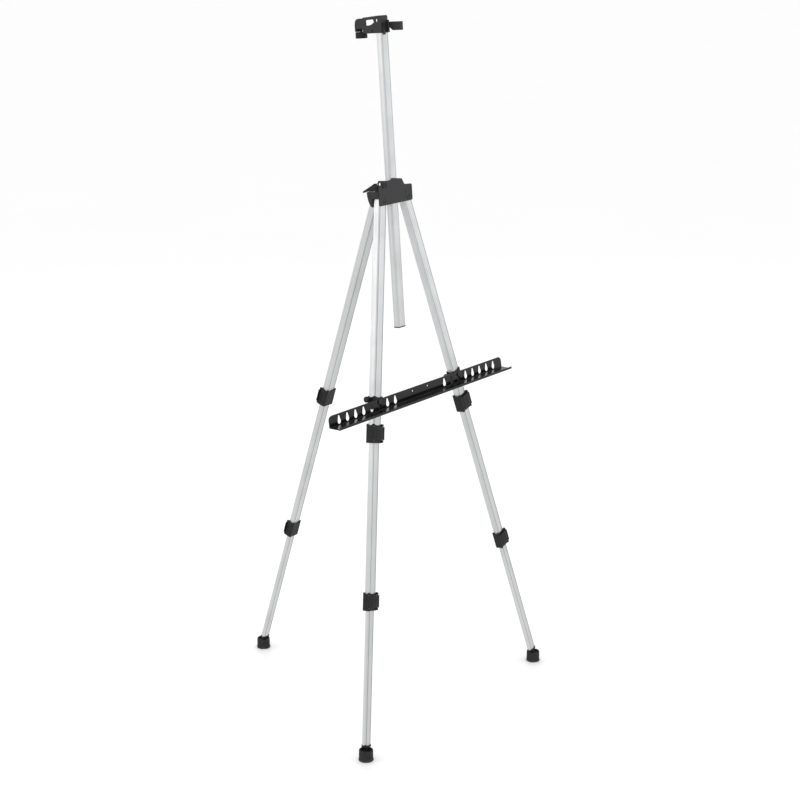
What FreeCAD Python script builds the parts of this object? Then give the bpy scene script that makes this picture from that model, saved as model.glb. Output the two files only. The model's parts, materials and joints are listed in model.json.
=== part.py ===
import FreeCAD, Part
import math
import os

# Telescoping tripod easel, fully raised.  Millimetres, +Z up, X along the tray
# (right is +X), -Y is the painter's side.  Origin: floor, centre of the footprint.

V = FreeCAD.Vector

# ---- overall stance -------------------------------------------------------
FOOT_HALF_SPAN = 355.0      # front feet, X
FOOT_HALF_DEPTH = 310.0     # front feet at -Y, rear foot at +Y
BALL_HEIGHT = 16.0          # centre of each foot's ball above the floor
HEAD_Y = -119.2             # middle of the two front leg pivots
HEAD_Z = 1242.0
HEAD_TILT = 4.2             # degrees the head and mast lean back
FRONT_PIVOT_X = 45.5
REAR_PIVOT_Y = 44.0         # behind the front pivots, in the head's frame
REAR_PIVOT_Z = -4.6

# ---- leg tubes (width across, depth front to back) ------------------------
UPPER_W, UPPER_D = 28.0, 17.0
MIDDLE_W, MIDDLE_D = 24.6, 13.8
LOWER_W, LOWER_D = 21.0, 10.6
MAST_W, MAST_D = 26.0, 15.5
TUBE_WALL = 1.2
TUBE_CORNER = 2.2
GROOVE_WIDTH = 1.1
GROOVE_DEPTH = 0.4
GROOVE_INSET = 3.6          # groove centre from the tube's edge

# ---- stations along a leg, measured down from its pivot --------------------
UPPER_TOP = -9.0
KNUCKLE_CAP = 3.0
KNUCKLE_DEPTH = 24.0
UPPER_COLLAR_AT = 540.5
LOWER_COLLAR_AT = 928.5
STATION_RAISE = {"left": 0.0, "right": 0.0, "rear": 10.5}    # rear locks sit higher
MIDDLE_INSERT = 62.0        # middle tube runs this far above the upper collar
LOWER_INSERT = 56.0
TUBE_IN_COLLAR = 8.0        # tube end below the middle of its collar
GUIDE_HEAD = 7.0
GUIDE_PLUG = 16.0

# ---- flip-lock collars -----------------------------------------------------
COLLAR_SIDE_WALL = 4.0
COLLAR_FRONT_WALL = 2.3
COLLAR_BACK_WALL = 2.7
UPPER_COLLAR_H = 45.0
LOWER_COLLAR_H = 43.0
COLLAR_CORNER = 3.4
SCOOP_DEPTH = 4.0
LEVER_GAP = 0.35
LEVER_THICK = 2.4
LEVER_EYE_R = 2.5
LEVER_OVERHANG = 2.0
LOCK_PIN_R = 1.2
EAR_HEIGHT = 5.5
EAR_R = 2.7
LEVER_TURN = {"left": 0.0, "right": 0.0, "rear": 180.0}    # levers face outwards

# ---- running gaps ----------------------------------------------------------
PIN_FIT = 0.06
SLIDE_GAP = 0.35

# ---- pivots ----------------------------------------------------------------
PIVOT_PIN_R = 3.0

# ---- feet ------------------------------------------------------------------
BALL_R = 6.5
BALL_GAP = 0.3
SOCKET_W, SOCKET_D = 23.0, 13.0
SOCKET_BASE = 15.2          # underside of the cap, above the ball centre
SOCKET_SEAT = 16.6          # end of the lower tube, above the ball centre
SOCKET_TOP = 21.0
SOCKET_PLUG = 18.0
STEM_LOW_R, STEM_HIGH_R = 3.0, 5.2
PAD_BOTTOM_R = 17.5
PAD_RIM_R = 16.3
PAD_RIM = 10.0              # above the ball centre
BOWL_R = 13.8
BOWL_FLOOR = 3.5            # above the ball centre
PAD_RINGS = (-7.0, -2.5, 2.0)    # heights of the cup's shallow grooves

# ---- head ------------------------------------------------------------------
COVER_HALF_W = 64.0
COVER_FRONT = -12.5
COVER_THICK = 2.6
COVER_BOTTOM = -12.0
SHELL_BACK = 25.0

# ---- mast ------------------------------------------------------------------
MAST_BELOW = 305.0          # below the head's pivots
MAST_ABOVE = 379.0

# ---- tray ------------------------------------------------------------------
TRAY_HALF_LENGTH = 345.0
TRAY_SHEET = 1.5
TRAY_BACK_HEIGHT = 27.0
TRAY_SHELF_DEPTH = 30.0
TRAY_LIP = 6.0
TRAY_SCREW_AT = 468.0       # down the leg from its pivot
KEYHOLE_PITCH = 30.0
KEYHOLE_COUNT = 8
CLAMP_H = 31.0
TRAY_STANDOFF = 11.6        # leg centre plane to the back of the tray's plate


# ---------------------------------------------------------------------------
# frames
# ---------------------------------------------------------------------------
def frame(origin, x_axis, y_axis, z_axis):
    """Placement whose local axes are the three given directions."""
    m = FreeCAD.Matrix(
        x_axis.x, y_axis.x, z_axis.x, origin.x,
        x_axis.y, y_axis.y, z_axis.y, origin.y,
        x_axis.z, y_axis.z, z_axis.z, origin.z,
        0, 0, 0, 1)
    return FreeCAD.Placement(m)


def unit(v):
    return V(v).normalize()


def head_frame():
    t = math.radians(HEAD_TILT)
    up = V(0, math.sin(t), math.cos(t))
    back = V(0, math.cos(t), -math.sin(t))
    return frame(V(0, HEAD_Y, HEAD_Z), V(1, 0, 0), back, up)


HEAD = head_frame()
BALLS = {
    "left": V(-FOOT_HALF_SPAN, -FOOT_HALF_DEPTH, BALL_HEIGHT),
    "right": V(FOOT_HALF_SPAN, -FOOT_HALF_DEPTH, BALL_HEIGHT),
    "rear": V(0, FOOT_HALF_DEPTH, BALL_HEIGHT),
}
PIVOTS = {
    "left": V(-FRONT_PIVOT_X, HEAD_Y, HEAD_Z),
    "right": V(FRONT_PIVOT_X, HEAD_Y, HEAD_Z),
    "rear": HEAD.multVec(V(0, REAR_PIVOT_Y, REAR_PIVOT_Z)),
}
SIDES = ("left", "right", "rear")


def leg_frame(side):
    """Origin on the pivot, z up the leg, y to the back of its flat face."""
    up = unit(PIVOTS[side] - BALLS[side])
    if side == "rear":
        across = V(1, 0, 0)
        return frame(PIVOTS[side], across, unit(up.cross(across)), up)
    slope = unit(V(0, HEAD_Y + FOOT_HALF_DEPTH, HEAD_Z - BALL_HEIGHT))
    back = unit(slope.cross(V(1, 0, 0)))
    return frame(PIVOTS[side], unit(back.cross(up)), back, up)


LEGS = {side: leg_frame(side) for side in SIDES}
LEG_LENGTH = {side: (PIVOTS[side] - BALLS[side]).Length for side in SIDES}


# ---------------------------------------------------------------------------
# small builders
# ---------------------------------------------------------------------------
def rounded_face(w, d, r, z=0.0, cx=0.0, cy=0.0):
    """Rounded rectangle in the XY plane, centred on (cx, cy)."""
    hx, hy = w / 2.0, d / 2.0
    c = math.sqrt(0.5) * r
    edges = []
    corners = ((1, 1), (-1, 1), (-1, -1), (1, -1))
    points = []
    for sx, sy in corners:
        ox, oy = cx + sx * (hx - r), cy + sy * (hy - r)
        a = V(ox + sx * r, oy, z)
        b = V(ox, oy + sy * r, z)
        mid = V(ox + sx * c, oy + sy * c, z)
        first, last = (a, b) if sx * sy > 0 else (b, a)
        points.append((first, mid, last))
    for i, (first, mid, last) in enumerate(points):
        edges.append(Part.Arc(first, mid, last).toShape())
        following = points[(i + 1) % len(points)][0]
        edges.append(Part.makeLine(last, following))
    return Part.Face(Part.Wire(edges))


def rounded_bar(w, d, r, z0, z1, cx=0.0, cy=0.0):
    return rounded_face(w, d, r, z0, cx, cy).extrude(V(0, 0, z1 - z0))


def block(x0, x1, y0, y1, z0, z1):
    return Part.makeBox(x1 - x0, y1 - y0, z1 - z0, V(x0, y0, z0))


def rod(r, start, direction, length):
    return Part.makeCylinder(r, length, start, direction)


def prism(points, axis, start, length):
    """Extrude a polygon of (a, b) pairs along the named axis."""
    place = {
        "x": lambda a, b: V(start, a, b),
        "y": lambda a, b: V(a, start, b),
        "z": lambda a, b: V(a, b, start),
    }[axis]
    loop = [place(a, b) for a, b in points]
    loop.append(loop[0])
    push = {"x": V(length, 0, 0), "y": V(0, length, 0), "z": V(0, 0, length)}[axis]
    return Part.Face(Part.makePolygon(loop)).extrude(push)


def soften(shape, radius, chooser):
    """Fillet the edges the chooser picks; the largest radius that works."""
    edges = [e for e in shape.Edges if chooser(e)]
    for r in (radius, radius * 0.6, radius * 0.3):
        try:
            result = shape.makeFillet(r, edges)
        except Exception:
            continue
        if result.isValid() and len(result.Solids) == 1:
            return result
    return shape


def along(edge, direction, tolerance=1e-3):
    if len(edge.Vertexes) != 2:
        return False
    d = edge.Vertexes[1].Point - edge.Vertexes[0].Point
    if d.Length < 1e-6 or edge.Curve.TypeId != "Part::GeomLine":
        return False
    return abs(abs(d.normalize().dot(direction)) - 1) < tolerance


def all_at(edge, axis, value, tolerance=1e-3):
    return all(abs(getattr(v.Point, axis) - value) < tolerance for v in edge.Vertexes)


def tube(w, d, z0, z1):
    """Extruded aluminium tube with two fine grooves on each broad face."""
    shape = rounded_bar(w, d, TUBE_CORNER, z0, z1)
    shape = shape.cut(rounded_bar(w - 2 * TUBE_WALL, d - 2 * TUBE_WALL,
                                  TUBE_CORNER - TUBE_WALL, z0 - 1, z1 + 1))
    x = w / 2 - GROOVE_INSET
    for sx in (-1, 1):
        for sy in (-1, 1):
            y_face = sy * d / 2
            shape = shape.cut(block(
                sx * x - GROOVE_WIDTH / 2, sx * x + GROOVE_WIDTH / 2,
                min(y_face, y_face - sy * GROOVE_DEPTH),
                max(y_face, y_face - sy * GROOVE_DEPTH), z0 - 1, z1 + 1))
    return shape


def write(name, shape):
    shape.exportStep("parts/%s.step" % name)


def placed(shape, where):
    result = shape.copy()
    result.Placement = where.multiply(shape.Placement)
    return result


# ---------------------------------------------------------------------------
# leg pieces, in the leg's frame (pivot at the origin, foot towards -z)
# ---------------------------------------------------------------------------
def knuckle(bore):
    inner_w = UPPER_W - 2 * TUBE_WALL
    inner_d = UPPER_D - 2 * TUBE_WALL
    top = -UPPER_TOP
    plug = rounded_bar(inner_w, inner_d, TUBE_CORNER - TUBE_WALL, -KNUCKLE_DEPTH, top)
    cap = rounded_bar(UPPER_W, UPPER_D, TUBE_CORNER, top, top + KNUCKLE_CAP)
    cap = soften(cap, 1.4, lambda e: all_at(e, "z", top + KNUCKLE_CAP))
    body = plug.fuse(cap)
    web = (inner_w - 12.0) / 2 - 1.5
    for sx in (-1, 1):
        middle = sx * (6.0 + web / 2 + 0.75)
        body = body.cut(block(middle - web / 2, middle + web / 2,
                              -inner_d / 2 + 1.5, inner_d / 2 - 1.5,
                              -KNUCKLE_DEPTH - 1, top - 3))
    return body.cut(bore)


def pivot_bore():
    return rod(PIVOT_PIN_R + PIN_FIT, V(0, -40, 0), V(0, 1, 0), 80)


def rear_pivot_bore():
    return rod(PIVOT_PIN_R + PIN_FIT, V(-40, 0, 0), V(1, 0, 0), 80)


def scoop(shape, w, d, top, depth):
    """Lower the middle of every face of a rim, leaving horns at the corners."""
    for span, other, axis in ((w, d, V(0, 1, 0)), (d, w, V(1, 0, 0))):
        half = span / 2 - 2.0
        r = (half * half + depth * depth) / (2 * depth)
        centre = V(0, 0, top + r - depth) - axis * other
        shape = shape.cut(rod(r, centre, axis, other * 2))
    return shape


def collar_box(tube_w, tube_d):
    """Outer extents of a lock collar: half width, front and back."""
    half = tube_w / 2 + COLLAR_SIDE_WALL
    return half, -tube_d / 2 - COLLAR_FRONT_WALL, tube_d / 2 + COLLAR_BACK_WALL


def hinge_at(tube_w, tube_d):
    half, front, _ = collar_box(tube_w, tube_d)
    return V(-half + 0.6, front - LEVER_GAP - LEVER_THICK / 2 + 0.5, 0)


def collar(tube_w, tube_d, inner_w, inner_d, height):
    """Flip-lock collar, centred on z = 0, gripping the bigger tube from below."""
    half, front, back = collar_box(tube_w, tube_d)
    depth = back - front
    middle = (front + back) / 2
    body = rounded_bar(2 * half, depth, COLLAR_CORNER, -height / 2, height / 2, 0, middle)
    body = soften(body, 1.6, lambda e: all_at(e, "z", -height / 2))
    body = scoop(body, 2 * half, depth, height / 2, SCOOP_DEPTH)
    hinge = hinge_at(tube_w, tube_d)
    ear_zs = (-height / 2 + 1.2, height / 2 - 1.2 - EAR_HEIGHT)
    for z in ear_zs:
        body = body.fuse(rod(EAR_R, V(hinge.x, hinge.y, z), V(0, 0, 1), EAR_HEIGHT))
    rest_w = 4.0
    for z in ear_zs:
        body = body.fuse(block(half - rest_w, half, front - LEVER_THICK, front + 1.0,
                               z, z + EAR_HEIGHT))
    lever_z = lever_half_height(height)
    body = body.cut(rod(LEVER_EYE_R + SLIDE_GAP, V(hinge.x, hinge.y, -lever_z - 0.4),
                        V(0, 0, 1), 2 * lever_z + 0.8))
    body = body.cut(rounded_bar(tube_w, tube_d, TUBE_CORNER, -TUBE_IN_COLLAR, height))
    body = body.cut(rounded_bar(inner_w + 2 * SLIDE_GAP, inner_d + 2 * SLIDE_GAP,
                                TUBE_CORNER, -height, height))
    body = body.cut(rod(LOCK_PIN_R, V(hinge.x, hinge.y, -height), V(0, 0, 1), 2 * height))
    relief = block(half - 1.2, half + 2, middle - 5.0, middle + 5.0, -height / 4, height / 4)
    body = body.cut(relief)
    for x in (-half * 0.62, half * 0.55):
        body = body.cut(block(x, x + 1.2, back - 0.6, back + 1, -height * 0.4, height * 0.3))
    return body


def lever_half_height(height):
    return height / 2 - 1.2 - EAR_HEIGHT - 0.5


def lever(tube_w, tube_d, height):
    """Ribbed flip lever on the collar's front, hinged at its left edge."""
    half, front, _ = collar_box(tube_w, tube_d)
    hinge = hinge_at(tube_w, tube_d)
    hz = lever_half_height(height)
    y1 = front - LEVER_GAP
    y0 = y1 - LEVER_THICK
    tip = half + LEVER_OVERHANG
    outline = [
        (hinge.x, y1), (tip - 3.5, y1), (tip, y1 - 1.1), (tip + 0.3, y0 - 0.7),
        (tip - 1.4, y0 - 0.9), (tip - 4.5, y0), (half * 0.3, y0 - 0.7),
        (-half * 0.35, y0 - 0.7), (hinge.x, y0 + 0.4)]
    body = prism(outline, "z", -hz, 2 * hz)
    body = body.fuse(rod(LEVER_EYE_R, V(hinge.x, hinge.y, -hz), V(0, 0, 1), 2 * hz))
    body = body.cut(rod(LOCK_PIN_R + PIN_FIT, V(hinge.x, hinge.y, -hz - 1),
                        V(0, 0, 1), 2 * hz + 2))
    for i in range(4):
        x = -half * 0.42 + i * half * 0.3
        rib = rod(0.9, V(x, y0 - 0.45, -hz + 3.5), V(0, 0, 1), 2 * hz - 7.0)
        body = body.fuse(rib)
    return body.removeSplitter()


def lock_pin(tube_w, tube_d, height):
    hinge = hinge_at(tube_w, tube_d)
    return rod(LOCK_PIN_R, V(hinge.x, hinge.y, -height / 2 + 1.6), V(0, 0, 1), height - 3.2)


def guide(tube_w, tube_d, outer_w, outer_d):
    """Plastic end plug: a slider head on top of the tube, z = 0 at the tube's end."""
    inner_w = tube_w - 2 * TUBE_WALL
    inner_d = tube_d - 2 * TUBE_WALL
    gap = 2 * SLIDE_GAP
    head = rounded_bar(outer_w - 2 * TUBE_WALL - gap, outer_d - 2 * TUBE_WALL - gap,
                       1.4, 0, GUIDE_HEAD)
    head = soften(head, 0.8, lambda e: all_at(e, "z", GUIDE_HEAD))
    plug = rounded_bar(inner_w, inner_d, TUBE_CORNER - TUBE_WALL, -GUIDE_PLUG, 0)
    hollow = rounded_bar(inner_w - 4, inner_d - 4, 1.0, -GUIDE_PLUG - 1, GUIDE_HEAD - 2)
    return head.fuse(plug).cut(hollow).removeSplitter()


def foot_socket():
    """Cap and plug on the lower tube's end with a ball stem; origin at the ball's centre."""
    cap = rounded_bar(SOCKET_W, SOCKET_D, 3.2, SOCKET_BASE, SOCKET_TOP)
    cap = scoop(cap, SOCKET_W, SOCKET_D, SOCKET_TOP, 2.2)
    cap = soften(cap, 0.8, lambda e: all_at(e, "z", SOCKET_BASE))
    cap = cap.cut(rounded_bar(LOWER_W, LOWER_D, TUBE_CORNER, SOCKET_SEAT, SOCKET_TOP + 5))
    plug = rounded_bar(LOWER_W - 2 * TUBE_WALL, LOWER_D - 2 * TUBE_WALL,
                       TUBE_CORNER - TUBE_WALL, SOCKET_SEAT - 0.5, SOCKET_SEAT + SOCKET_PLUG)
    stem = Part.makeCone(STEM_LOW_R, STEM_HIGH_R, SOCKET_BASE - 2.5, V(0, 0, 3))
    return cap.fuse(plug).fuse(stem).fuse(Part.makeSphere(BALL_R)).removeSplitter()


def foot_pad():
    """Rubber cup round the ball, upright, origin at the ball's centre."""
    z0 = -BALL_HEIGHT
    cavity = BALL_R + BALL_GAP
    mouth = math.acos(BOWL_FLOOR / cavity)

    def polar(angle):
        return V(cavity * math.sin(angle), 0, cavity * math.cos(angle))

    flank = [(0, z0), (PAD_BOTTOM_R - 0.8, z0), (PAD_BOTTOM_R, z0 + 0.8),
             (PAD_BOTTOM_R, z0 + 3.0), (PAD_BOTTOM_R - 0.7, z0 + 4.2)]
    for low in PAD_RINGS:
        flank += [(PAD_RIM_R + 0.3, low), (PAD_RIM_R - 0.3, low + 0.4),
                  (PAD_RIM_R - 0.3, low + 1.2), (PAD_RIM_R + 0.3, low + 1.6)]
    flank += [(PAD_RIM_R, PAD_RIM - 1.0), (PAD_RIM_R - 0.8, PAD_RIM), (BOWL_R + 0.7, PAD_RIM),
              (BOWL_R, PAD_RIM - 0.7), (BOWL_R - 0.4, BOWL_FLOOR + 1.0), (BOWL_R - 1.4, BOWL_FLOOR)]
    corners = [polar(math.pi)] + [V(r, 0, z) for r, z in flank] + [polar(mouth)]
    edges = [Part.makeLine(a, b) for a, b in zip(corners, corners[1:])]
    edges.append(Part.Arc(polar(mouth), polar((mouth + math.pi) / 2), polar(math.pi)).toShape())
    cup = Part.Face(Part.Wire(edges)).revolve(V(0, 0, 0), V(0, 0, 1), 360)
    ring = rod(13.0, V(0, 0, z0), V(0, 0, 1), 1.2).cut(rod(9.5, V(0, 0, z0), V(0, 0, 1), 1.2))
    return cup.cut(ring)


def build_leg(side):
    where = LEGS[side]
    name = "leg_%s_" % side
    bore = rear_pivot_bore() if side == "rear" else pivot_bore()

    def put(node, shape, station=0.0, turn=0.0):
        lowered = FreeCAD.Placement(V(0, 0, -station), FreeCAD.Rotation(V(0, 0, 1), turn))
        write(name + node, placed(shape, where.multiply(lowered)))

    upper_at = UPPER_COLLAR_AT - STATION_RAISE[side]
    lower_at = LOWER_COLLAR_AT - STATION_RAISE[side]
    upper_end = upper_at + TUBE_IN_COLLAR
    middle_top = upper_at - MIDDLE_INSERT
    middle_end = lower_at + TUBE_IN_COLLAR
    lower_top = lower_at - LOWER_INSERT
    lower_end = LEG_LENGTH[side] - SOCKET_SEAT

    put("knuckle", knuckle(bore))
    put("upper_tube", tube(UPPER_W, UPPER_D, -upper_end, -UPPER_TOP).cut(bore))
    turn = LEVER_TURN[side]
    put("upper_collar", collar(UPPER_W, UPPER_D, MIDDLE_W, MIDDLE_D, UPPER_COLLAR_H),
        upper_at, turn)
    put("upper_lever", lever(UPPER_W, UPPER_D, UPPER_COLLAR_H), upper_at, turn)
    put("upper_lock_pin", lock_pin(UPPER_W, UPPER_D, UPPER_COLLAR_H), upper_at, turn)
    put("middle_tube", tube(MIDDLE_W, MIDDLE_D, -middle_end, -middle_top))
    put("middle_guide", guide(MIDDLE_W, MIDDLE_D, UPPER_W, UPPER_D), middle_top)
    put("lower_collar", collar(MIDDLE_W, MIDDLE_D, LOWER_W, LOWER_D, LOWER_COLLAR_H),
        lower_at, turn)
    put("lower_lever", lever(MIDDLE_W, MIDDLE_D, LOWER_COLLAR_H), lower_at, turn)
    put("lower_lock_pin", lock_pin(MIDDLE_W, MIDDLE_D, LOWER_COLLAR_H), lower_at, turn)
    put("lower_tube", tube(LOWER_W, LOWER_D, -lower_end, -lower_top))
    put("lower_guide", guide(LOWER_W, LOWER_D, MIDDLE_W, MIDDLE_D), lower_top)
    put("foot_socket", foot_socket(), LEG_LENGTH[side])
    upright = FreeCAD.Placement(BALLS[side], FreeCAD.Rotation())
    write(name + "foot_pad", placed(foot_pad(), upright))


# ---------------------------------------------------------------------------
# head, in the head's frame (origin midway between the front pivots)
# ---------------------------------------------------------------------------
COVER_BACK = COVER_FRONT + COVER_THICK
EYELET = (-59.0, 39.0)
EYELET_R = 3.4
EYELET_RIM_R = 5.6
EYELET_THICK = 1.4
LOCK_PIN_AT = (-1.0, 34.0)
LOCK_PIN_RADIUS = 2.0
LOCK_LUG_R = 3.6
SHELL_TOP = 22.0
POCKET_TOP = 17.5
POCKET_IN = 27.6
POCKET_OUT = 60.5
POCKET_BACK = 10.3
SLOT_TOP = 5.3
SLOT_BACK = 8.9
SCREW_SPOTS = ((-23.5, -6.0, 13.5), (23.5, -6.0, 13.5), (-23.5, 16.0, 18.0), (23.5, 16.0, 18.0))
EAR_IN, EAR_OUT = 14.6, 19.6
REAR_EAR_R = 9.5
PIN_HEAD_R = 5.0


def front_bores():
    """Bores of the two front leg pivots, in the head's frame."""
    back_to_head = HEAD.inverse()
    bores = []
    for side in ("left", "right"):
        bores.append(placed(rod(PIVOT_PIN_R + PIN_FIT, V(0, -40, 0), V(0, 1, 0), 56.2),
                            back_to_head.multiply(LEGS[side])))
    return bores


def head_front_cover():
    outline = [
        (-60.0, COVER_BOTTOM), (60.0, COVER_BOTTOM), (62.8, COVER_BOTTOM + 1.2),
        (64.0, COVER_BOTTOM + 4.0), (64.0, 23.0), (62.9, 25.6), (60.5, 26.8), (37.0, 28.4),
        (34.5, 29.6), (27.0, 41.6), (24.5, 43.2), (-3.0, 47.0), (-7.0, 46.6), (-14.5, 43.8),
        (-31.0, 43.8), (-60.0, 47.2), (-63.0, 46.0), (-64.0, 43.0), (-64.0, COVER_BOTTOM + 4.0),
        (-62.8, COVER_BOTTOM + 1.2)]
    body = prism(outline, "y", COVER_FRONT, COVER_THICK)
    body = soften(body, 1.0, lambda e: all_at(e, "y", COVER_FRONT))
    body = body.fuse(rod(EYELET_RIM_R, V(EYELET[0], COVER_FRONT, EYELET[1]), V(0, 1, 0),
                         COVER_THICK))
    raised = block(-51.0, -33.0, COVER_FRONT - 2.2, COVER_FRONT + 0.5, 28.0, 42.0)
    raised = soften(raised, 1.6, lambda e: all_at(e, "y", COVER_FRONT - 2.2))
    body = body.fuse(raised)
    for x in (-47.5, -42.0, -36.5):
        body = body.fuse(rod(1.2, V(x, COVER_FRONT - 2.2, 30.0), V(0, 0, 1), 10.0))
    for z in (-7.4, 19.0):
        body = body.cut(block(36.0, 58.0, COVER_FRONT - 1, COVER_FRONT + 0.6, z, z + 1.2))
    for x in (36.0, 57.0):
        body = body.cut(block(x, x + 1.2, COVER_FRONT - 1, COVER_FRONT + 0.6, -7.4, 20.2))
    body = body.cut(rod(EYELET_R, V(EYELET[0], -30, EYELET[1]), V(0, 1, 0), 40))
    body = body.cut(rod(EYELET_RIM_R - 0.7, V(EYELET[0], COVER_FRONT + EYELET_THICK, EYELET[1]),
                        V(0, 1, 0), COVER_THICK))
    for sx in (-1, 1):
        body = body.cut(rod(5.8, V(sx * FRONT_PIVOT_X, COVER_FRONT - 1, 0), V(0, 1, 0), 2.6))
    for bore in front_bores():
        body = body.cut(bore)
    for x, z, _ in SCREW_SPOTS:
        body = body.cut(rod(1.5, V(x, COVER_FRONT + 1.4, z), V(0, 1, 0), 10))
    return body.removeSplitter()


def head_rear_shell():
    profile = [
        (COVER_BACK, SHELL_TOP), (COVER_BACK, COVER_BOTTOM), (9.0, COVER_BOTTOM - 2.5),
        (11.0, -15.0), (15.0, -12.5), (18.0, -8.7), (21.7, -0.3), (24.0, 10.0),
        (SHELL_BACK, 18.4), (24.2, 20.2), (22.6, 21.2)]
    body = prism(profile, "x", -COVER_HALF_W, 2 * COVER_HALF_W)
    body = soften(body, 1.5, lambda e: all_at(e, "x", COVER_HALF_W)
                  or all_at(e, "x", -COVER_HALF_W))
    for sx in (-1, 1):
        near, far = sx * POCKET_IN, sx * POCKET_OUT
        body = body.cut(block(min(near, far), max(near, far), COVER_BACK - 1, POCKET_BACK,
                              -40, POCKET_TOP))
        near, far = sx * (POCKET_OUT - 1), sx * (COVER_HALF_W + 1)
        body = body.cut(block(min(near, far), max(near, far), COVER_BACK - 1, SLOT_BACK,
                              -40, SLOT_TOP))
        body = body.fuse(rear_ear(sx))
    channel = rounded_bar(MAST_W + 2 * SLIDE_GAP, MAST_D + 2 * SLIDE_GAP, TUBE_CORNER, -60, 60)
    body = body.cut(channel)
    lug_y, lug_z = LOCK_PIN_AT
    body = body.fuse(block(-61.0, -56.0, lug_y - LOCK_LUG_R, lug_y + LOCK_LUG_R,
                           SHELL_TOP - 2.5, lug_z))
    body = body.fuse(rod(LOCK_LUG_R, V(-61.0, lug_y, lug_z), V(1, 0, 0), 5.0))
    body = body.cut(rod(LOCK_PIN_RADIUS, V(-70, lug_y, lug_z), V(1, 0, 0), 20))
    for bore in front_bores():
        body = body.cut(bore)
    body = body.cut(rod(PIVOT_PIN_R + PIN_FIT, V(-30, REAR_PIVOT_Y, REAR_PIVOT_Z),
                        V(1, 0, 0), 60))
    for x, z, seat in SCREW_SPOTS:
        body = body.cut(rod(1.5, V(x, -20, z), V(0, 1, 0), 50))
        body = body.cut(rod(3.2, V(x, seat, z), V(0, 1, 0), 30))
    return body.removeSplitter()


def rear_ear(sx):
    points = [(12.0, -9.0), (12.0, 12.0), (24.0, 12.0), (REAR_PIVOT_Y + 3.0, 4.4),
              (REAR_PIVOT_Y, -14.0)]
    inner, outer = sx * EAR_IN, sx * EAR_OUT
    start, width = min(inner, outer), EAR_OUT - EAR_IN
    plate = prism(points, "x", start, width)
    return plate.fuse(rod(REAR_EAR_R, V(start, REAR_PIVOT_Y, REAR_PIVOT_Z), V(1, 0, 0), width))


def head_screws():
    screws = []
    for x, z, seat in SCREW_SPOTS:
        head = rod(3.0, V(x, seat, z), V(0, 1, 0), 2.0)
        shank = rod(1.45, V(x, COVER_FRONT + 1.6, z), V(0, 1, 0), seat - COVER_FRONT - 1.6)
        recess = prism([(x - 1.8, z - 0.4), (x + 1.8, z - 0.4), (x + 1.8, z + 0.4),
                        (x - 1.8, z + 0.4)], "y", seat + 1.0, 2.0)
        screws.append(head.fuse(shank).cut(recess).removeSplitter())
    return Part.makeCompound(screws)


def head_pins():
    """Three leg pivot pins and the pin of the mast's lock lever, in the room's frame."""
    pins = []
    for side in ("left", "right"):
        head = rod(PIN_HEAD_R, V(0, -12.3, 0), V(0, 1, 0), 0.8)
        head = head.cut(block(-3.2, 3.2, -13, -11.9, -0.5, 0.5))
        shank = rod(PIVOT_PIN_R, V(0, -11.6, 0), V(0, 1, 0), 27.5)
        pins.append(placed(head.fuse(shank), LEGS[side]))
    at = V(-EAR_OUT - 1.2, REAR_PIVOT_Y, REAR_PIVOT_Z)
    rear = rod(PIVOT_PIN_R, at, V(1, 0, 0), 2 * EAR_OUT + 2.4)
    for sx in (-1, 1):
        cap_at = V(sx * (EAR_OUT + 0.1) - (1.3 if sx < 0 else 0), at.y, at.z)
        rear = rear.fuse(rod(PIN_HEAD_R, cap_at, V(1, 0, 0), 1.3))
    pins.append(placed(rear.removeSplitter(), HEAD))
    y, z = LOCK_PIN_AT
    lock = rod(LOCK_PIN_RADIUS, V(-64.4, y, z), V(1, 0, 0), 9.0)
    pins.append(placed(lock, HEAD))
    return Part.makeCompound(pins)


def mast_lock_lever():
    y, z = LOCK_PIN_AT
    web = prism([(y, z - 6.8), (5.0, 22.5), (22.8, 22.4), (25.0, 20.8), (31.0, 19.6), (34.6, 21.6),
                 (2.0, 39.6), (-5.0, 41.0)], "x", -64.0, 2.6)
    web = web.fuse(rod(7.0, V(-64.0, y, z), V(1, 0, 0), 2.6))
    flange = prism([(-5.0, 41.2), (2.0, 39.8), (34.0, 22.6), (36.2, 20.2), (35.0, 18.6),
                    (31.5, 20.8), (4.0, 36.4), (-1.0, 38.4), (-5.0, 39.0)], "x", -64.0, 10.0)
    body = web.fuse(flange).cut(rod(LOCK_PIN_RADIUS + PIN_FIT, V(-70, y, z), V(1, 0, 0), 20))
    body = body.cut(block(-65, -63.2, 10.0, 22.0, 25.0, 27.0))
    return body.removeSplitter()


# ---------------------------------------------------------------------------
# mast and canvas holder, in the head's frame
# ---------------------------------------------------------------------------
HOLDER_WEB = 3.6
HOOK_PIN = (11.0, -10.6)
HOOK_PIN_R = 1.5
HOOK_REACH = 40.0
KNOB_AT = (-1.0, 60.0)
KNOB_R = 13.8
KNOB_SHANK_R = 3.0
KNOB_TOP = 4.0
KNOB_HEIGHT = 14.8
KNOB_FLOOR = 11.5           # underside of the arm's floor, above the mast's top


def mast_bottom_plug():
    z = -MAST_BELOW
    flange = rounded_bar(MAST_W + 1.6, MAST_D + 1.6, TUBE_CORNER + 0.8, z - 2.4, z)
    flange = soften(flange, 0.8, lambda e: all_at(e, "z", z - 2.4))
    plug = rounded_bar(MAST_W - 2 * TUBE_WALL, MAST_D - 2 * TUBE_WALL,
                       TUBE_CORNER - TUBE_WALL, z, z + 14.0)
    hollow = rounded_bar(MAST_W - 7, MAST_D - 7, 0.8, z + 1, z + 20.0)
    return flange.fuse(plug).cut(hollow).removeSplitter()


def raise_up(shape):
    lifted = shape.copy()
    lifted.translate(V(0, 0, MAST_ABOVE))
    return lifted


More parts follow.
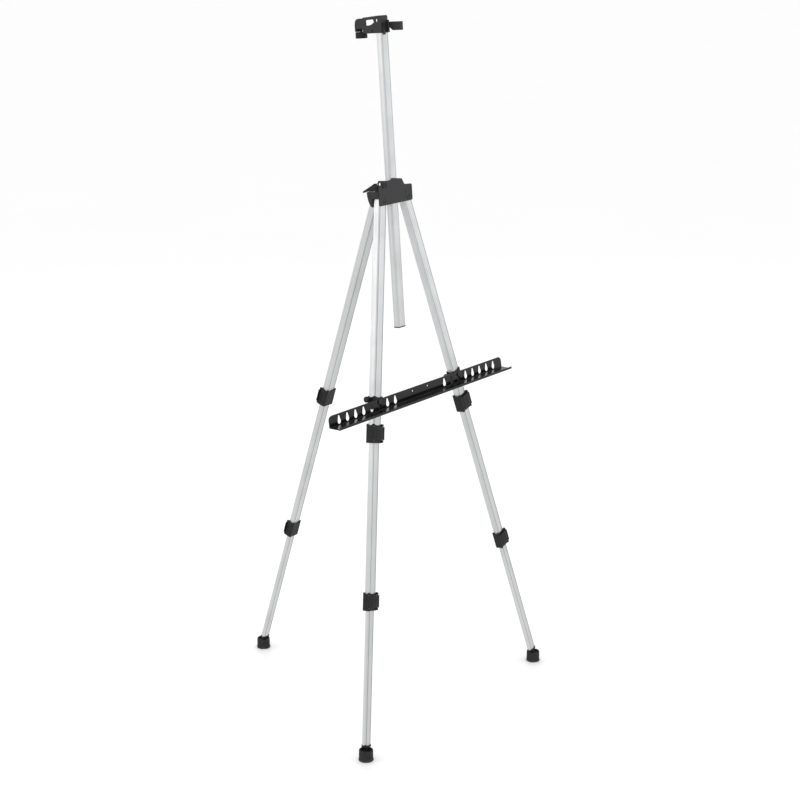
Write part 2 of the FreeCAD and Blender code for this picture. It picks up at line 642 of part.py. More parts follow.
def holder_body():
    half_w, half_d = MAST_W / 2, MAST_D / 2
    plug = rounded_bar(MAST_W - 2 * TUBE_WALL, MAST_D - 2 * TUBE_WALL,
                       TUBE_CORNER - TUBE_WALL, -22.0, 0.0)
    base = rounded_bar(MAST_W, MAST_D, TUBE_CORNER, 0.0, 10.0)
    web = prism([(-half_d, 0.0), (40.0, 0.0), (45.4, 3.0), (46.0, 8.0), (46.0, 16.0),
                 (46.0, 35.0), (43.0, 36.2), (-2.0, 39.5), (-half_d, 36.5)],
                "x", -half_w, HOLDER_WEB)
    front = prism([(-half_w, 0.0), (half_w, 0.0), (half_w, 34.5), (half_w - 1.2, 38.0),
                   (half_w - 4.0, 39.5), (-half_w, 39.5)], "y", -half_d, 4.0)
    top = prism([(-4.0, 37.0), (43.0, 33.8), (43.0, 36.2), (-4.0, 39.4)],
                "x", -half_w, 9.0)
    bottom = block(-half_w, -half_w + 9.0, half_d - 1, 34.0, 0.0, 2.6)
    arm = prism([(44.0, 33.4), (52.0, 34.6), (62.0, 33.6), (67.5, 29.0), (69.0, 20.0),
                 (69.0, 5.2), (65.4, 4.6), (64.4, KNOB_FLOOR), (45.0, KNOB_FLOOR), (44.0, 16.0)],
                "x", -half_w, 24.0)
    body = plug.fuse(base).fuse(web).fuse(front).fuse(top).fuse(bottom).fuse(arm)
    hollow = block(-half_w + 3.4, half_w + 1, 43.0, 64.6, KNOB_FLOOR + 4.0, 40.0)
    body = body.cut(hollow)
    window = prism([(37.0, 18.5), (37.0, 30.0), (14.5, 31.2), (12.6, 24.5), (20.0, 20.0),
                    (30.0, 17.6)], "x", -half_w - 1, HOLDER_WEB + 2)
    body = body.cut(window)
    body = body.cut(block(-half_w - 1, -half_w + HOLDER_WEB + 1, 2.6, 8.0, 26.0, 31.6))
    body = body.fuse(rod(4.6, V(-half_w - 0.8, 22.0, 5.4), V(1, 0, 0), 9.0))
    body = body.cut(rod(1.6, V(-half_w - 2, 22.0, 5.4), V(1, 0, 0), 8.0))
    body = body.fuse(block(-8.0, 1.0, -half_d - 1.5, -half_d + 1.0, -4.0, 6.0))
    body = body.cut(block(-9.0, 2.0, -half_d, -half_d + 1.5, -5.0, 0.0))
    for z in (0.6, 24.6):
        body = body.fuse(block(HOOK_PIN[0] - 2.6, HOOK_PIN[0] + 2.6, HOOK_PIN[1],
                               -half_d + 0.5, z, z + 3.6))
        body = body.fuse(rod(2.6, V(HOOK_PIN[0], HOOK_PIN[1], z), V(0, 0, 1), 3.6))
    body = body.cut(rod(HOOK_PIN_R, V(HOOK_PIN[0], HOOK_PIN[1], -1), V(0, 0, 1), 40))
    body = body.cut(rod(KNOB_SHANK_R + PIN_FIT, V(KNOB_AT[0], KNOB_AT[1], -5), V(0, 0, 1), 30))
    return raise_up(body.removeSplitter())


def holder_hook():
    x, y = HOOK_PIN
    barrel = rod(2.6, V(x, y, 4.6), V(0, 0, 1), 19.6)
    plate = prism([(y, 14.0), (y - 13.0, 4.6), (y - HOOK_REACH, 4.6),
                   (y - HOOK_REACH, 24.2), (y, 24.2)], "x", x - 1.4, 3.2)
    plate = soften(plate, 1.0, lambda e: all_at(e, "x", x + 1.8))
    lip = block(x - 8.6, x + 1.6, y - HOOK_REACH - 0.4, y - HOOK_REACH + 2.8, 4.6, 24.2)
    lip = soften(lip, 1.2, lambda e: all_at(e, "x", x - 8.6))
    body = barrel.fuse(plate).fuse(lip)
    for i in range(4):
        rib_z = 7.6 + i * 4.4
        body = body.fuse(rod(0.7, V(x - 1.5, y - 10.0, rib_z), V(0, -1, 0), HOOK_REACH - 14))
    body = body.cut(rod(HOOK_PIN_R + PIN_FIT, V(x, y, 0), V(0, 0, 1), 40))
    return raise_up(body.removeSplitter())


def fluted_knob(r, height, flutes, flute_r):
    """Round grip about z with finger flutes, z = 0 at its underside."""
    grip = rod(r, V(0, 0, 0), V(0, 0, 1), height)
    grip = soften(grip, min(1.6, height / 4), lambda e: e.Curve.TypeId == "Part::GeomCircle")
    for i in range(flutes):
        a = 2 * math.pi * i / flutes
        at = V((r + flute_r * 0.45) * math.cos(a), (r + flute_r * 0.45) * math.sin(a), -1)
        grip = grip.cut(rod(flute_r, at, V(0, 0, 1), height + 2))
    return grip


def holder_knob():
    x, y = KNOB_AT
    grip = fluted_knob(KNOB_R, KNOB_HEIGHT, 12, 1.5)
    grip.translate(V(x, y, KNOB_TOP - KNOB_HEIGHT))
    shank = rod(KNOB_SHANK_R, V(x, y, KNOB_TOP - 2), V(0, 0, 1), KNOB_FLOOR + 2.0)
    return raise_up(grip.fuse(shank).removeSplitter())


def holder_pins():
    """Hinge pin of the hook and the small screw in the holder's web."""
    x, y = HOOK_PIN
    pin = rod(HOOK_PIN_R, V(x, y, 0.4), V(0, 0, 1), 28.0)
    screw_x = -MAST_W / 2 - 0.8
    head = rod(3.0, V(screw_x - 1.4, 22.0, 5.4), V(1, 0, 0), 1.3)
    head = head.fuse(rod(1.55, V(screw_x - 0.2, 22.0, 5.4), V(1, 0, 0), 6.0))
    return raise_up(Part.makeCompound([pin, head.removeSplitter()]))


# ---------------------------------------------------------------------------
# tray and its leg clamps
# ---------------------------------------------------------------------------
CLAMP_BELOW = 17.0
CLAMP_SIDE = 2.0
CLAMP_BACK = 10.6
CLAMP_FRONT = TRAY_STANDOFF - 0.5
THUMB_AT = (6.0, 5.0)       # behind and above the tray screw
THUMB_R = 7.2
THUMB_SHANK_R = 2.5
TRAY_SCREW_R = 2.6
TRAY_HEAD_R = 5.4
TRAY_ABOVE_SCREW = 7.5


def screw_point(side):
    return LEGS[side].multVec(V(0, 0, -TRAY_SCREW_AT))


def tray_frame():
    """Middle of the two tray screws; y backwards, z up the legs' plane."""
    origin = (screw_point("left") + screw_point("right")) * 0.5
    back = LEGS["left"].Rotation.multVec(V(0, 1, 0))
    return frame(origin, V(1, 0, 0), back, unit(V(1, 0, 0).cross(back)))


TRAY = tray_frame()
TRAY_SCREW_X = (screw_point("right") - screw_point("left")).Length / 2


def tray_section():
    """Folded-sheet section: back plate, level shelf, upright lip."""
    forward = TRAY.Rotation.inverted().multVec(V(0, -1, 0))
    up = TRAY.Rotation.inverted().multVec(V(0, 0, 1))
    t = TRAY_SHEET
    back = -TRAY_STANDOFF
    top = TRAY_ABOVE_SCREW
    heel = V(0, back, top - TRAY_BACK_HEIGHT)
    toe = heel + forward * (TRAY_SHELF_DEPTH + t)
    lip = toe + up * TRAY_LIP
    lip_in = lip - forward * t
    shelf_front = toe + up * t - forward * t
    run = (back - t - (heel + up * t).y) / forward.y
    shelf_back = heel + up * t + forward * run
    corners = [V(0, back, top), heel, toe, lip, lip_in, shelf_front, shelf_back,
               V(0, back - t, top)]
    return [(c.y, c.z) for c in corners], heel, toe


def keyhole(x):
    """Cutter for one hanging slot: narrow top, wide round foot."""
    r_top, r_foot, drop = 3.3, 6.2, 10.4
    y0, length = -TRAY_STANDOFF - 4, 8
    lean = math.asin((r_foot - r_top) / drop)
    c, s = math.cos(lean), math.sin(lean)
    taper = [(x - r_top * c, r_top * s), (x + r_top * c, r_top * s),
             (x + r_foot * c, -drop + r_foot * s), (x - r_foot * c, -drop + r_foot * s)]
    cutter = prism(taper, "y", y0, length)
    cutter = cutter.fuse(rod(r_top, V(x, y0, 0), V(0, 1, 0), length))
    return cutter.fuse(rod(r_foot, V(x, y0, -drop), V(0, 1, 0), length))


def tray():
    points, heel, toe = tray_section()
    body = prism(points, "x", -TRAY_HALF_LENGTH, 2 * TRAY_HALF_LENGTH)
    x_axis = V(1, 0, 0)

    def on_bend(edge):
        if not along(edge, x_axis):
            return False
        p = edge.Vertexes[0].Point
        return any(abs(p.y - c.y) < 1e-3 and abs(p.z - c.z) < 1e-3 for c in (heel, toe))

    body = soften(body, 1.4, on_bend)
    top = TRAY_ABOVE_SCREW
    for sx in (-1, 1):
        end = sx * TRAY_HALF_LENGTH
        corner = [(end + sx, top + 1), (end - sx * 12.0, top + 1), (end - sx * 10.0, top),
                  (end - sx * 5.4, top - 1.8), (end - sx * 1.8, top - 4.8),
                  (end, top - 9.0), (end + sx, top - 9.0)]
        body = body.cut(prism(corner, "y", -TRAY_STANDOFF - 4, 8))
    first = TRAY_SCREW_X - 2 * KEYHOLE_PITCH
    for sx in (-1, 1):
        for i in range(KEYHOLE_COUNT):
            body = body.cut(keyhole(sx * (first + i * KEYHOLE_PITCH)))
        body = body.cut(rod(2.1, V(sx * 30.0, -TRAY_STANDOFF - 4, -1.0), V(0, 1, 0), 8))
    return placed(body, TRAY)


def tray_clamp():
    half = UPPER_W / 2 + CLAMP_SIDE
    depth = CLAMP_FRONT + CLAMP_BACK
    middle = (CLAMP_BACK - CLAMP_FRONT) / 2
    top = CLAMP_H - CLAMP_BELOW
    body = rounded_bar(2 * half, depth, 3.0, -CLAMP_BELOW, top, 0, middle)
    body = scoop(body, 2 * half, depth, top, 3.0)
    y, z = THUMB_AT
    body = body.fuse(rod(5.0, V(-half - 4.0, y, z), V(1, 0, 0), 6.0))
    body = body.cut(rounded_bar(UPPER_W + 0.6, UPPER_D + 0.6, TUBE_CORNER + 0.3, -60, 60))
    body = body.cut(rod(THUMB_SHANK_R + PIN_FIT, V(-half - 10, y, z), V(1, 0, 0), half))
    body = body.cut(rod(TRAY_SCREW_R, V(0, -20, 0), V(0, 1, 0), 15))
    for x in (-6.0, -2.0, 2.0, 6.0):
        body = body.cut(block(x - 0.5, x + 0.5, CLAMP_BACK - 0.6, CLAMP_BACK + 1, -14, 8))
    return body.removeSplitter()


def tray_knob():
    """Thumb screw on the clamp's left: grip and shank about X."""
    y, z = THUMB_AT
    half = UPPER_W / 2 + CLAMP_SIDE
    grip = fluted_knob(THUMB_R, 4.6, 8, 1.3)
    grip.rotate(V(0, 0, 0), V(0, 1, 0), -90)
    grip.translate(V(-half - 6.6, y, z))
    shank = rod(THUMB_SHANK_R, V(-half - 7.0, y, z), V(1, 0, 0), 8.7 - 0.35)
    return grip.fuse(shank).removeSplitter()


def tray_screw(inner_end):
    """Slotted pan-head screw in front of the tray's plate, axis along y."""
    face = -TRAY_STANDOFF - TRAY_SHEET
    head = rod(TRAY_HEAD_R, V(0, face - 2.6, 0), V(0, 1, 0), 2.4)
    head = soften(head, 0.9, lambda e: all_at(e, "y", face - 2.6))
    head = head.cut(block(-3.4, 3.4, face - 3.6, face - 1.9, -0.6, 0.6))
    shank = rod(TRAY_SCREW_R, V(0, face - 0.4, 0), V(0, 1, 0), inner_end - face + 0.4)
    return head.fuse(shank).removeSplitter()


def station(side, drop):
    return LEGS[side].multiply(FreeCAD.Placement(V(0, 0, -drop), FreeCAD.Rotation()))


def main():
    os.makedirs("parts", exist_ok=True)
    for side in SIDES:
        build_leg(side)

    write("head_front_cover", placed(head_front_cover(), HEAD))
    write("head_rear_shell", placed(head_rear_shell(), HEAD))
    write("head_screws", placed(head_screws(), HEAD))
    write("head_pins", head_pins())
    write("mast_lock_lever", placed(mast_lock_lever(), HEAD))

    write("mast_tube", placed(tube(MAST_W, MAST_D, -MAST_BELOW, MAST_ABOVE), HEAD))
    write("mast_bottom_plug", placed(mast_bottom_plug(), HEAD))
    write("holder_body", placed(holder_body(), HEAD))
    write("holder_hook", placed(holder_hook(), HEAD))
    write("holder_knob", placed(holder_knob(), HEAD))
    write("holder_pins", placed(holder_pins(), HEAD))

    write("tray", tray())
    for side in ("left", "right"):
        where = station(side, TRAY_SCREW_AT)
        write("tray_clamp_%s" % side, placed(tray_clamp(), where))
        write("tray_knob_%s" % side, placed(tray_knob(), where))
    write("tray_screw_left",
          placed(tray_screw(-UPPER_D / 2 - 0.4), station("left", TRAY_SCREW_AT)))
    write("tray_screw_right",
          placed(tray_screw(-TRAY_STANDOFF), TRAY.multiply(
              FreeCAD.Placement(V(TRAY_SCREW_X, 0, 0), FreeCAD.Rotation()))))


main()
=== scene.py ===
import json
import math

import bpy
from mathutils import Matrix, Vector

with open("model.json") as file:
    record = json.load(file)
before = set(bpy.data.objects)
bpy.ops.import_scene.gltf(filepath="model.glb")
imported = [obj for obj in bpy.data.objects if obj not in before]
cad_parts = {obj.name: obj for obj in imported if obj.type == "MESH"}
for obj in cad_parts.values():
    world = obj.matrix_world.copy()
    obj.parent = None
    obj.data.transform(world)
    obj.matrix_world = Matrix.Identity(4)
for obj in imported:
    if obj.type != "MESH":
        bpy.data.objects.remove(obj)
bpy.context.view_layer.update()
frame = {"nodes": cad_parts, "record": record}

# ---------------------------------------------------------------------------
# camera and room
# ---------------------------------------------------------------------------
CAMERA_AT = (-3.364, -2.658, 1.921)
CAMERA_TURN = -53.21        # degrees round the object, 0 looks along +Y
CAMERA_DROP = 15.51         # degrees below the horizon
CAMERA_LENS = 81.65         # millimetres
SENSOR = 36.0               # millimetres across
CAMERA_FAR = 100.0          # metres

FLOOR_SIZE = 60.0           # metres a side
FLOOR_COLOUR = (0.93, 0.93, 0.93)
FLOOR_LIFT = 1.03           # how much lighter its pale patches are
SKY_COLOUR = (1.0, 1.0, 1.0)
SKY_STRENGTH = 1.04

# name, place, aim, width, height, watts, colour; lengths in metres
LIGHTS = (
    ("key", (-3.2, 2.5, 2.05), (0.0, -0.1, 0.9), 1.4, 1.7, 12.5, (1.0, 0.995, 0.985)),
    ("front", (3.0, -2.9, 1.3), (0.0, -0.1, 0.8), 1.2, 1.6, 4.0, (0.98, 0.99, 1.0)),
    ("rim", (2.8, 2.6, 3.0), (0.0, 0.0, 0.8), 1.8, 1.8, 16.0, (1.0, 1.0, 1.0)),
    ("top", (0.0, -0.2, 4.6), (0.0, -0.1, 0.5), 2.0, 2.0, 12.0, (1.0, 1.0, 1.0)),
)

# ---------------------------------------------------------------------------
# finishes: lengths in metres, colours linear, pairs from dark to light
# ---------------------------------------------------------------------------
TUBE_WIDTH = {"upper": 0.028, "middle": 0.0246, "lower": 0.021, "mast": 0.026}
GROOVE_INSET = 0.0036       # extruded groove's centre line from the tube's edge
GROOVE_HALF = 0.00055       # half the groove's width
GROOVE_FADE = 1.6           # where its painted shade and dirt have faded out, in half widths
LEG_GROOVE_SHADE_AND_DIRT = 0.65            # painted shade and dirt in the leg tubes' grooves
MAST_GROOVE_SHADE_AND_DIRT = 0.0            # the mast's grooves get no painted shade or dirt
TUBE_SEED = 100.0
TUBE_SEED_STEP = 13.0       # keeps one tube's streaks from repeating on the next

ALUMINIUM = ((0.53, 0.538, 0.543), (0.61, 0.618, 0.622))
ALUMINIUM_STAIN = (0.42, 0.43, 0.437)
ALUMINIUM_RUBBED = (0.66, 0.66, 0.66)
# painted shade, with some dirt, darkening the tubes' grooves
GROOVE_SHADE_AND_DIRT = (0.09, 0.09, 0.095)

# colour, painted edge highlight, roughness, seed, shine, grain per metre
BLACK_PLASTIC = ((0.008, 0.008, 0.009), (0.075, 0.075, 0.08), 0.40, 1.0, 0.20, 2600.0)
COVER_PLASTIC = ((0.014, 0.0135, 0.0155), (0.08, 0.078, 0.086), 0.42, 21.0, 0.30, 2000.0)
LEVER_PLASTIC = ((0.009, 0.009, 0.010), (0.075, 0.075, 0.082), 0.34, 31.0, 0.20, 2600.0)
PLUG_PLASTIC = ((0.010, 0.010, 0.011), (0.05, 0.05, 0.05), 0.50, 41.0, 0.25, 2600.0)
FLOW_LIFT = 1.35            # how much lighter the plastic's flow clouds are
DUST = (0.22, 0.22, 0.22)

PAINT = ((0.0035, 0.0035, 0.004), (0.006, 0.006, 0.0068))
# painted highlight on the tray's edges and fold lines
PAINT_EDGE_HIGHLIGHT = (0.10, 0.10, 0.105)
PAINT_SPECK = (0.08, 0.08, 0.08)

RUBBER = ((0.014, 0.014, 0.015), (0.028, 0.028, 0.030))
RUBBER_SCUFF = (0.11, 0.108, 0.10)
# painted highlight on the feet's edges
RUBBER_EDGE_HIGHLIGHT = (0.09, 0.09, 0.09)
SCUFF_HEIGHT = 0.006        # how far the floor's scuffs reach up a foot

# clean, stained
ZINC = ((0.56, 0.56, 0.565), (0.42, 0.41, 0.40))
BLACKENED_STEEL = ((0.035, 0.035, 0.037), (0.06, 0.058, 0.055))

BEVEL_SAMPLES = 4

# which CAD nodes take which finish
STEEL_WORDS = ("screw", "pin")
BLACKENED = ("head_pins", "holder_pins", "tray_screw_left", "tray_screw_right")
PLUG_WORDS = ("guide", "knuckle", "bottom_plug")


class Graph:
    """A Principled material under construction."""

    def __init__(self, name, roughness, metallic=0.0, **sockets):
        self.material = bpy.data.materials.new(name)
        self.material.use_nodes = True
        self.tree = self.material.node_tree
        self.tree.nodes.clear()
        self.out = self.tree.nodes.new("ShaderNodeOutputMaterial")
        self.shader = self.tree.nodes.new("ShaderNodeBsdfPrincipled")
        self.tree.links.new(self.shader.outputs[0], self.out.inputs["Surface"])
        self.shader.inputs["Roughness"].default_value = roughness
        self.shader.inputs["Metallic"].default_value = metallic
        for socket, value in sockets.items():
            self.shader.inputs[socket.replace("_", " ")].default_value = value
        self.place = self.add("ShaderNodeTexCoord").outputs["Object"]

    def add(self, kind, **props):
        made = self.tree.nodes.new(kind)
        for key, value in props.items():
            setattr(made, key, value)
        return made

    def feed(self, socket, value):
        """Links an output to a socket, or sets a constant on it."""
        if isinstance(value, bpy.types.NodeSocket):
            self.tree.links.new(value, socket)
        else:
            socket.default_value = value

    def math(self, operation, a, b=0.0):
        made = self.add("ShaderNodeMath", operation=operation)
        self.feed(made.inputs[0], a)
        self.feed(made.inputs[1], b)
        return made.outputs[0]

    def vector(self, operation, a, b):
        made = self.add("ShaderNodeVectorMath", operation=operation)
        self.feed(made.inputs[0], a)
        self.feed(made.inputs[1], b)
        return made

    def noise(self, where, scale, detail=4.0, rough=0.55, seed=0.0):
        made = self.add("ShaderNodeTexNoise", noise_dimensions="4D")
        self.feed(made.inputs["Vector"], where)
        made.inputs["Scale"].default_value = scale
        made.inputs["Detail"].default_value = detail
        made.inputs["Roughness"].default_value = rough
        made.inputs["W"].default_value = seed
        return made.outputs["Fac"]

    def spread(self, value, low, high, to_low, to_high):
        made = self.add("ShaderNodeMapRange", clamp=True)
        self.feed(made.inputs["Value"], value)
        for socket, number in zip(("From Min", "From Max", "To Min", "To Max"),
                                  (low, high, to_low, to_high)):
            made.inputs[socket].default_value = number
        return made.outputs["Result"]

    def mix(self, factor, a, b):
        made = self.add("ShaderNodeMix", data_type="RGBA")
        self.feed(made.inputs["Factor"], factor)
        for socket, value in (("A", a), ("B", b)):
            target = [s for s in made.inputs if s.name == socket and s.type == "RGBA"][0]
            self.feed(target, value if isinstance(value, bpy.types.NodeSocket) else (*value, 1.0))
        return [s for s in made.outputs if s.type == "RGBA"][0]

    def reach(self, axis):
        """How far along an axis the shaded point lies."""
        return self.vector("DOT_PRODUCT", self.place, tuple(axis)).outputs["Value"]

    def stretched(self, axis, keep):
        """Object coordinates squeezed along an axis, so that noise runs in streaks."""
        along = self.add("ShaderNodeVectorMath", operation="SCALE")
        along.inputs[0].default_value = tuple(axis)
        self.feed(along.inputs["Scale"], self.math("MULTIPLY", self.reach(axis), 1.0 - keep))
        return self.vector("SUBTRACT", self.place, along.outputs[0]).outputs[0]

    def soft_normal(self, radius):
        """Normal with the sharp edges of the moulding rounded off."""
        rounded = self.add("ShaderNodeBevel", samples=BEVEL_SAMPLES)
        rounded.inputs["Radius"].default_value = radius
        return rounded.outputs["Normal"]

    def edges(self, rounded):
        """0 on the flats, 1 on the outer edges, from how far the rounding turns the normal."""
        flat = self.add("ShaderNodeNewGeometry").outputs["Normal"]
        turn = self.vector("DOT_PRODUCT", rounded, flat).outputs["Value"]
        return self.spread(turn, 0.995, 0.86, 0.0, 1.0)

    def bump(self, height, strength, distance, normal=None):
        made = self.add("ShaderNodeBump")
        made.inputs["Strength"].default_value = strength
        made.inputs["Distance"].default_value = distance
        self.feed(made.inputs["Height"], height)
        if normal is not None:
            self.feed(made.inputs["Normal"], normal)
        return made.outputs["Normal"]

    def finish(self, colour, roughness, normal):
        self.feed(self.shader.inputs["Base Color"], colour)
        self.feed(self.shader.inputs["Roughness"], roughness)
        self.feed(self.shader.inputs["Normal"], normal)
        return self.material


def anodised(name, seed, groove_shade_and_dirt, axis, across, middle, half_width):
    """Satin anodised aluminium: extrusion lines along the tube, painted shade and dirt in its
    grooves, rub marks.
    """
    g = Graph(name, 0.36, 0.82, Specular_IOR_Level=0.5)
    streaks = g.stretched(axis, 0.004)
    fine = g.noise(streaks, 1500.0, 3.0, 0.6, seed)
    broad = g.noise(streaks, 210.0, 2.0, 0.5, seed + 3.0)
    cloud = g.noise(g.place, 16.0, 3.0, 0.5, seed + 7.0)
    rubs = g.noise(g.stretched(axis, 0.05), 420.0, 2.0, 0.7, seed + 11.0)
    rubbed = g.spread(rubs, 0.66, 0.74, 0.0, 1.0)
    tone = g.mix(g.spread(broad, 0.35, 0.65, 0.0, 1.0), *ALUMINIUM)
    tone = g.mix(g.spread(cloud, 0.4, 0.7, 0.0, 0.25), tone, ALUMINIUM_STAIN)
    tone = g.mix(g.math("MULTIPLY", rubbed, 0.35), tone, ALUMINIUM_RUBBED)
    # painted shade and dirt: a dark band along each groove, at a set inset from the tube's edges
    side = g.math("ABSOLUTE", g.math("SUBTRACT", g.reach(across), across.dot(middle)))
    off_groove = g.math("ABSOLUTE", g.math("SUBTRACT", side, half_width - GROOVE_INSET))
    groove = g.spread(off_groove, GROOVE_HALF, GROOVE_FADE * GROOVE_HALF, groove_shade_and_dirt, 0.0)
    tone = g.mix(groove, tone, GROOVE_SHADE_AND_DIRT)
    rough = g.math("ADD", g.spread(fine, 0.3, 0.7, 0.27, 0.40),
                   g.spread(cloud, 0.3, 0.7, -0.03, 0.05))
    rough = g.math("SUBTRACT", rough, g.math("MULTIPLY", rubbed, 0.06))
    normal = g.bump(fine, 0.16, 0.00006, g.soft_normal(0.0005))
    return g.finish(tone, rough, normal)


def moulded(name, colour, edge_highlight_colour, roughness, seed, shine, grain):
    """Fine-textured black plastic: spark-eroded grain, flow clouds, painted highlights on the edges.
    """
    g = Graph(name, roughness, 0.0, Specular_IOR_Level=shine)
    pits = g.noise(g.place, grain, 2.0, 0.6, seed)
    flow = g.noise(g.place, 38.0, 4.0, 0.6, seed + 5.0)
    dust = g.noise(g.place, 900.0, 1.0, 0.5, seed + 9.0)
    rounded = g.soft_normal(0.0007)
    # painted highlight: edges lighter where the rounding turns the normal, patchy with the flow
    # clouds
    edge = g.math("MULTIPLY", g.edges(rounded), g.spread(flow, 0.35, 0.6, 0.25, 0.9))
    paler = tuple(FLOW_LIFT * part for part in colour)
    tone = g.mix(g.spread(flow, 0.35, 0.68, 0.0, 1.0), colour, paler)
    tone = g.mix(g.math("MULTIPLY", edge, 0.6), tone, edge_highlight_colour)
    tone = g.mix(g.spread(dust, 0.70, 0.80, 0.0, 0.35), tone, DUST)
    rough = g.math("ADD", g.spread(pits, 0.3, 0.7, roughness - 0.05, roughness + 0.07),
                   g.spread(flow, 0.3, 0.7, -0.03, 0.04))
    rough = g.math("SUBTRACT", rough, g.math("MULTIPLY", edge, 0.08))
    return g.finish(tone, rough, g.bump(pits, 0.35, 0.00012, rounded))


def lacquered(name, seed):
    """Gloss black paint on sheet: orange peel, faint wipe marks, painted highlights on the edges."""
    g = Graph(name, 0.14, 0.0, Specular_IOR_Level=0.16, Coat_Weight=0.12, Coat_Roughness=0.06)
    peel = g.noise(g.place, 320.0, 2.0, 0.5, seed)
    wipe = g.noise(g.stretched((1.0, 0.0, 0.0), 0.03), 160.0, 3.0, 0.6, seed + 4.0)
    cloud = g.noise(g.place, 12.0, 3.0, 0.5, seed + 6.0)
    specks = g.noise(g.place, 1300.0, 1.0, 0.5, seed + 8.0)
    rounded = g.soft_normal(0.0005)
    edge = g.edges(rounded)
    tone = g.mix(g.spread(cloud, 0.35, 0.65, 0.0, 1.0), *PAINT)
    # painted highlight: edges lighter where the rounding turns the normal
    tone = g.mix(g.math("MULTIPLY", edge, 0.8), tone, PAINT_EDGE_HIGHLIGHT)
    tone = g.mix(g.spread(specks, 0.72, 0.80, 0.0, 0.3), tone, PAINT_SPECK)
    rough = g.math("ADD", g.spread(wipe, 0.35, 0.7, 0.10, 0.20),
                   g.spread(cloud, 0.3, 0.7, -0.02, 0.04))
    return g.finish(tone, rough, g.bump(peel, 0.10, 0.0002, rounded))


def rubbery(name, seed):
    """Foot rubber: dull, grainy, greyer where it scuffs the floor."""
    g = Graph(name, 0.72, 0.0, Specular_IOR_Level=0.22)
    grain = g.noise(g.place, 1900.0, 4.0, 0.7, seed)
    mottle = g.noise(g.place, 90.0, 4.0, 0.6, seed + 2.0)
    height = g.add("ShaderNodeSeparateXYZ")
    g.feed(height.inputs[0], g.place)
    low = g.spread(height.outputs["Z"], 0.0, SCUFF_HEIGHT, 1.0, 0.0)
    rounded = g.soft_normal(0.0008)
    scuff = g.math("MULTIPLY", low, g.spread(mottle, 0.4, 0.65, 0.0, 0.8))
    tone = g.mix(g.spread(mottle, 0.35, 0.65, 0.0, 1.0), *RUBBER)
    tone = g.mix(scuff, tone, RUBBER_SCUFF)
    # painted highlight: edges lighter where the rounding turns the normal
    tone = g.mix(g.math("MULTIPLY", g.edges(rounded), 0.3), tone, RUBBER_EDGE_HIGHLIGHT)
    rough = g.spread(mottle, 0.3, 0.7, 0.62, 0.80)
    return g.finish(tone, rough, g.bump(grain, 0.5, 0.00018, rounded))


def plated(name, seed, clean, stained):
    """Plated or blackened steel of screws and pins: turned rings, small stains."""
    g = Graph(name, 0.30, 1.0)
    turned = g.noise(g.stretched((0.0, 1.0, 0.0), 0.3), 2200.0, 2.0, 0.6, seed)
    stain = g.noise(g.place, 240.0, 3.0, 0.6, seed + 3.0)
    tone = g.mix(g.spread(stain, 0.4, 0.68, 0.0, 1.0), clean, stained)
    rough = g.math("ADD", g.spread(turned, 0.3, 0.7, 0.24, 0.36),
                   g.spread(stain, 0.4, 0.7, 0.0, 0.1))
    return g.finish(tone, rough, g.bump(turned, 0.2, 0.00006, g.soft_normal(0.0003)))


def joint_vector(name, key):
    """A joint's place ("pos_m") or direction ("axis") from the frame's record."""
    for joint in frame["record"]["behaviour"]["joints"]:
        if joint["name"] == name:
            return Vector(joint[key])
    raise KeyError(name)


def tube_layout(node):
    """Direction a tube runs in, direction across its broad face, a point on it, half its width."""
    words = node.split("_")
    if words[0] == "mast":
        return joint_vector("mast_slide", "axis"), Vector((1, 0, 0)), Vector(), TUBE_WIDTH["mast"] / 2
    leg = words[1] + "_leg_"
    along = joint_vector(leg + "middle_slide", "axis").normalized()
    pivot = joint_vector(leg + "fold", "pos_m")
    hinge = joint_vector(leg + "fold", "axis")
    across = hinge.normalized() if words[1] == "rear" else hinge.cross(along).normalized()
    return along, across, pivot, TUBE_WIDTH[words[2]] / 2


def shared_finishes():
    """The finishes that several nodes share, by name."""
    return {
        "black": moulded("black_plastic", *BLACK_PLASTIC),
        "cover": moulded("cover_plastic", *COVER_PLASTIC),
        "lever": moulded("lever_plastic", *LEVER_PLASTIC),
        "plug": moulded("plug_plastic", *PLUG_PLASTIC),
        "rubber": rubbery("foot_rubber", 51.0),
        "zinc": plated("zinc_steel", 61.0, *ZINC),
        "blackened": plated("blackened_steel", 65.0, *BLACKENED_STEEL),
        "paint": lacquered("tray_paint", 71.0),
    }


def finish_name(node):
    """Which shared finish a CAD node takes; the tubes have one each instead."""
    words = node.split("_")
    if node == "tray":
        return "paint"
    if node.endswith("foot_pad"):
        return "rubber"
    if node in BLACKENED:
        return "blackened"
    if any(word.rstrip("s") in STEEL_WORDS for word in words):
        return "zinc"
    if node.startswith(("head_", "holder_body", "holder_hook")):
        return "cover"
    if words[-1] in ("lever", "knob"):
        return "lever"
    if any(word in node for word in PLUG_WORDS):
        return "plug"
    return "black"


def dress_nodes():
    shared = shared_finishes()
    for index, (name, piece) in enumerate(sorted(frame["nodes"].items())):
        if name.endswith("_tube"):
            # painted groove shade and dirt on the leg tubes, none on the mast
            groove_shade_and_dirt = MAST_GROOVE_SHADE_AND_DIRT if name == "mast_tube" else LEG_GROOVE_SHADE_AND_DIRT
            seed = TUBE_SEED + TUBE_SEED_STEP * index
            chosen = anodised("anodised_" + name, seed, groove_shade_and_dirt, *tube_layout(name))
        else:
            chosen = shared[finish_name(name)]
        piece.data.materials.clear()
        piece.data.materials.append(chosen)


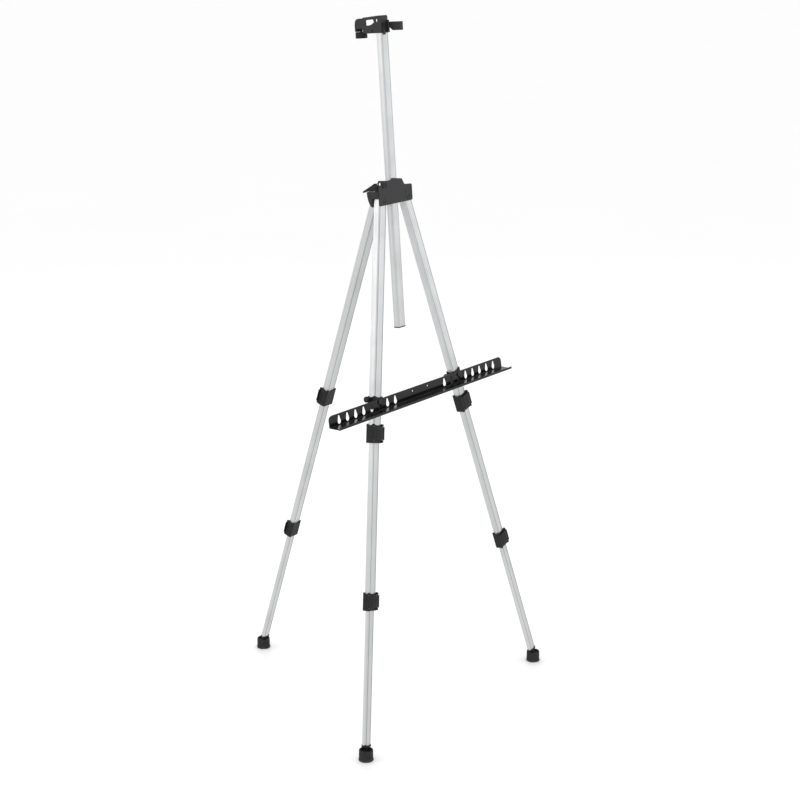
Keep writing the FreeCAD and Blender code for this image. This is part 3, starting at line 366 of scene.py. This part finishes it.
def floor_material():
    """Pale studio floor with faint broad patches."""
    g = Graph("studio_floor", 0.55, 0.0)
    mottle = g.noise(g.place, 1.2, 3.0, 0.5, 5.0)
    tone = g.mix(mottle, FLOOR_COLOUR, tuple(FLOOR_LIFT * part for part in FLOOR_COLOUR))
    grain = g.noise(g.place, 300.0, 2.0, 0.5, 6.0)
    return g.finish(tone, g.spread(mottle, 0.3, 0.7, 0.5, 0.6), g.bump(grain, 0.02, 0.0002))


def add_floor():
    half = FLOOR_SIZE / 2
    corners = [(-half, -half, 0.0), (half, -half, 0.0), (half, half, 0.0), (-half, half, 0.0)]
    mesh = bpy.data.meshes.new("studio_floor")
    mesh.from_pydata(corners, [], [(0, 1, 2, 3)])
    floor = bpy.data.objects.new("studio_floor", mesh)
    bpy.context.collection.objects.link(floor)
    mesh.materials.append(floor_material())


def add_sky():
    world = bpy.data.worlds.new("studio")
    world.use_nodes = True
    sky = world.node_tree.nodes["Background"]
    sky.inputs["Color"].default_value = (*SKY_COLOUR, 1.0)
    sky.inputs["Strength"].default_value = SKY_STRENGTH
    bpy.context.scene.world = world


def add_lights():
    for name, place, aim, width, height, watts, colour in LIGHTS:
        data = bpy.data.lights.new(name, "AREA")
        data.shape = "RECTANGLE"
        data.size = width
        data.size_y = height
        data.energy = watts
        data.color = colour
        lamp = bpy.data.objects.new(name, data)
        lamp.location = place
        aimed = (Vector(aim) - Vector(place)).to_track_quat("-Z", "Y")
        lamp.rotation_euler = aimed.to_euler()
        bpy.context.collection.objects.link(lamp)


def add_camera():
    data = bpy.data.cameras.new("photo_camera")
    data.sensor_width = SENSOR
    data.lens = CAMERA_LENS
    data.clip_end = CAMERA_FAR
    eye = bpy.data.objects.new("photo_camera", data)
    turn = Matrix.Rotation(math.radians(CAMERA_TURN), 4, "Z")
    tilt = Matrix.Rotation(math.radians(90.0 - CAMERA_DROP), 4, "X")
    eye.matrix_world = Matrix.Translation(Vector(CAMERA_AT)) @ turn @ tilt
    bpy.context.collection.objects.link(eye)
    bpy.context.scene.camera = eye


dress_nodes()
add_floor()
add_sky()
add_lights()
add_camera()
bpy.context.scene.view_settings.view_transform = "Standard"
